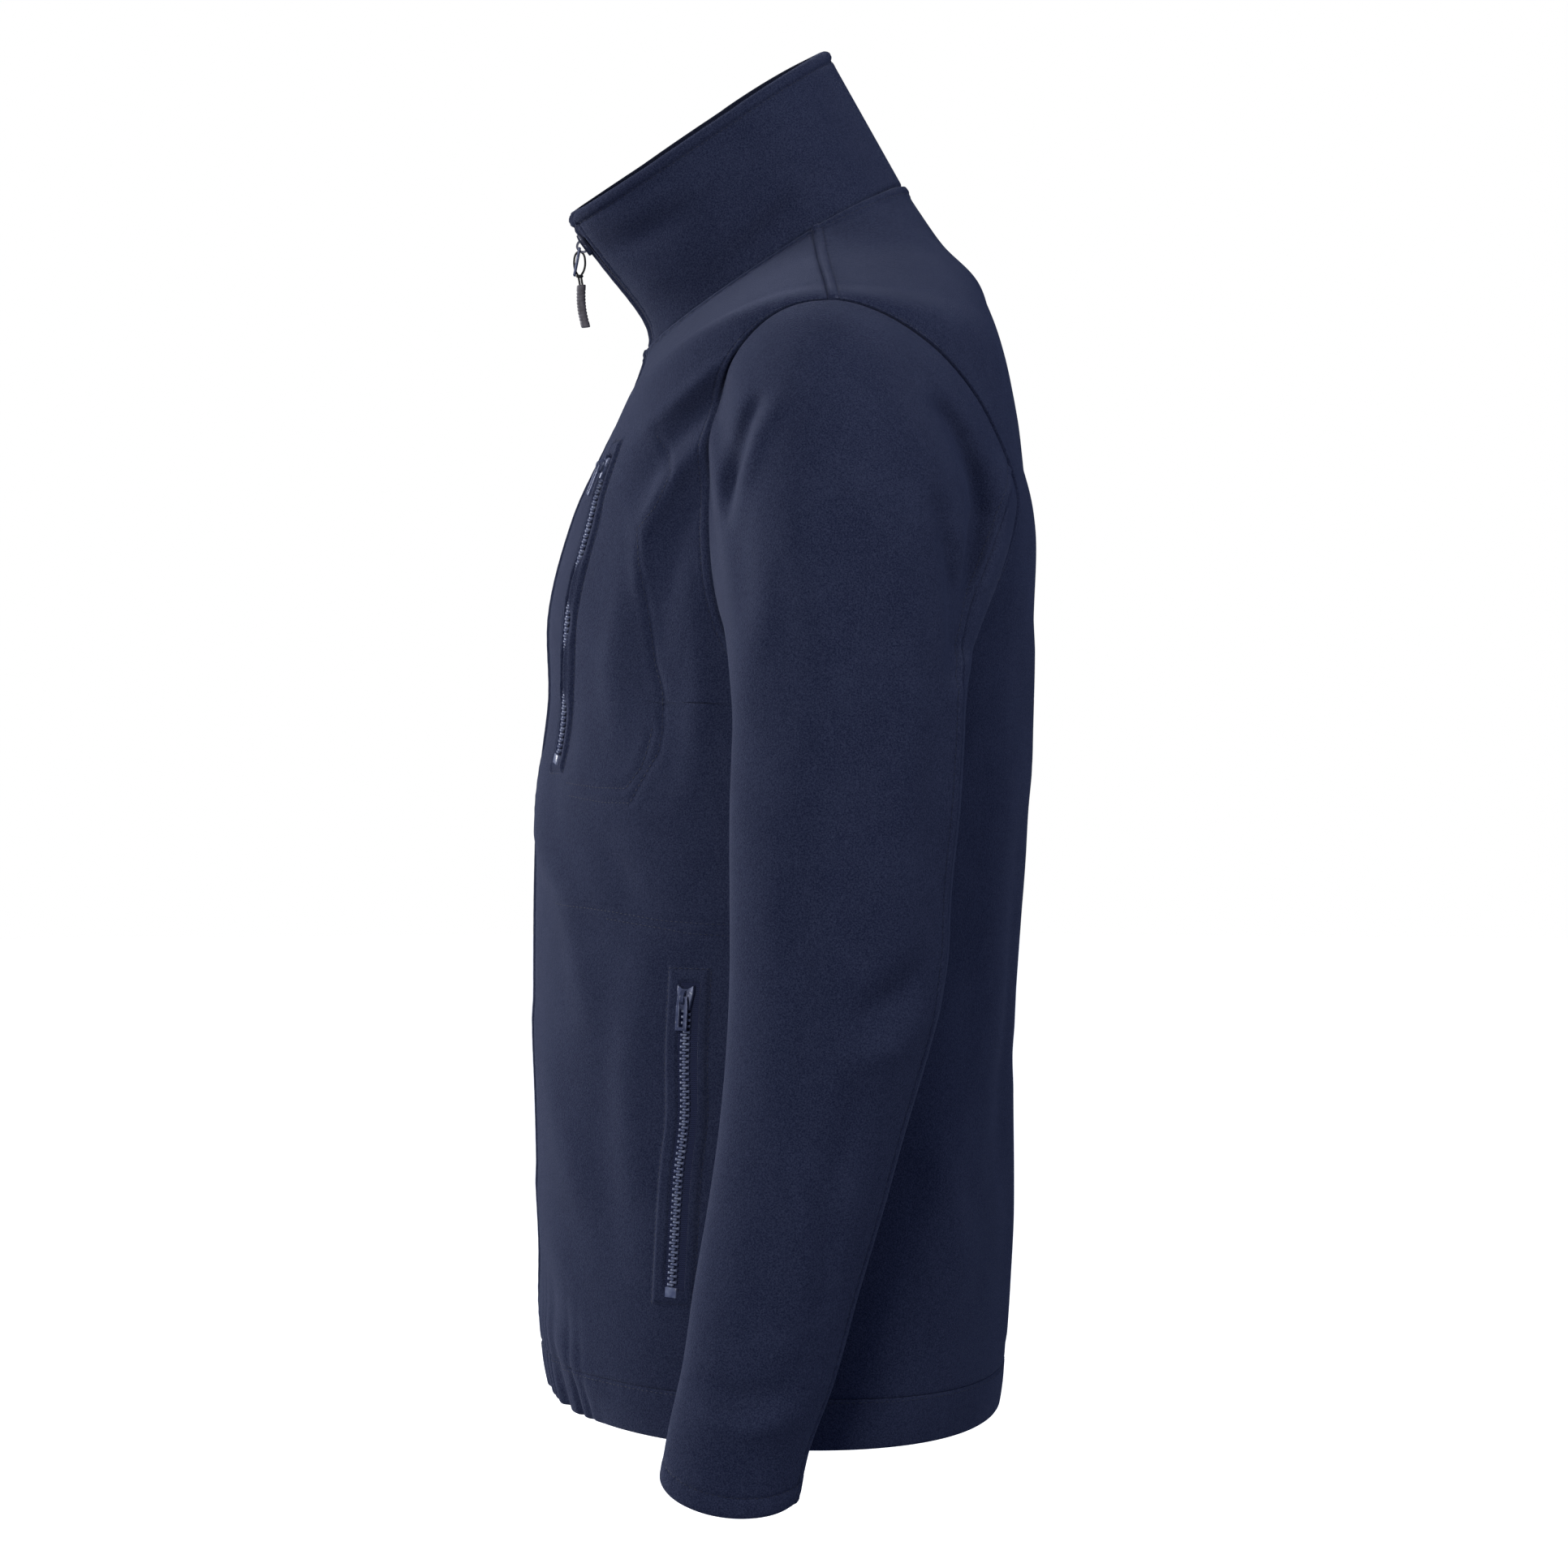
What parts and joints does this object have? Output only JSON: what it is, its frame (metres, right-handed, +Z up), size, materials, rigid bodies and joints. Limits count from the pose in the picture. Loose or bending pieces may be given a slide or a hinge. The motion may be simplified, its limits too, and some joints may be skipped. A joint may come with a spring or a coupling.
{
  "type": "fleece zip jacket",
  "caption": "Dark blue fleece zip jacket with a stand collar, zipped hand pockets and chest pocket and a gathered hem, filled out as if worn.",
  "frame": {"origin": "midway between the two shoulder points, where the wearer's shoulders hold the jacket up", "axes": "+Z up, -Y out of the front, +X towards the wearer's left sleeve"},
  "size_m": [0.622, 0.2935, 0.8055],
  "materials": {
    "fleece": "matt brushed fleece",
    "zip_tape": "woven polyester",
    "zip_teeth": "moulded plastic",
    "slider_metal": "enamelled zinc",
    "cord": "braided cord",
    "grip_rubber": "ribbed rubber"
  },
  "bodies": {
    "jacket": {"front_left": "fleece", "front_right": "fleece", "back": "fleece", "sleeve_top_left": "fleece", "sleeve_under_left": "fleece", "sleeve_top_right": "fleece", "sleeve_under_right": "fleece", "collar": "fleece", "hem_casing_left": "fleece", "hem_casing_right": "fleece", "hem_casing_back": "fleece", "zip_tape_front": "zip_tape", "zip_tape_pocket_left": "zip_tape", "zip_tape_pocket_right": "zip_tape", "zip_tape_chest": "zip_tape", "zip_chain_front": "zip_teeth", "zip_chain_pocket_left": "zip_teeth", "zip_chain_pocket_right": "zip_teeth", "zip_chain_chest": "zip_teeth", "slider_front": "slider_metal", "slider_pocket_left": "slider_metal", "slider_pocket_right": "slider_metal", "slider_chest": "slider_metal"},
    "front_pull": {"pull_front": "slider_metal", "pull_cord_front": "cord", "pull_grip_front": "grip_rubber"},
    "left_pocket_pull": {"pull_pocket_left": "slider_metal"},
    "right_pocket_pull": {"pull_pocket_right": "slider_metal"},
    "chest_pull": {"pull_chest": "slider_metal"}
  },
  "joints": [
    {"name": "front_pull_swing", "type": "hinge", "parent": "jacket", "child": "front_pull", "pos_m": [0, -0.13991, 0.05146], "axis": [1, 0, 0], "range_deg": [-130, 15]},
    {"name": "left_pocket_pull_swing", "type": "hinge", "parent": "jacket", "child": "left_pocket_pull", "pos_m": [0.19878, -0.07461, -0.37356], "axis": [-0.4585, -0.8883, 0.0252], "range_deg": [0, 150]},
    {"name": "right_pocket_pull_swing", "type": "hinge", "parent": "jacket", "child": "right_pocket_pull", "pos_m": [-0.19878, -0.07461, -0.37356], "axis": [-0.4585, 0.8883, -0.0252], "range_deg": [0, 150]},
    {"name": "chest_pull_swing", "type": "hinge", "parent": "jacket", "child": "chest_pull", "pos_m": [0.10663, -0.12375, -0.08175], "axis": [-0.9427, -0.2148, 0.2555], "range_deg": [0, 150]}
  ]
}
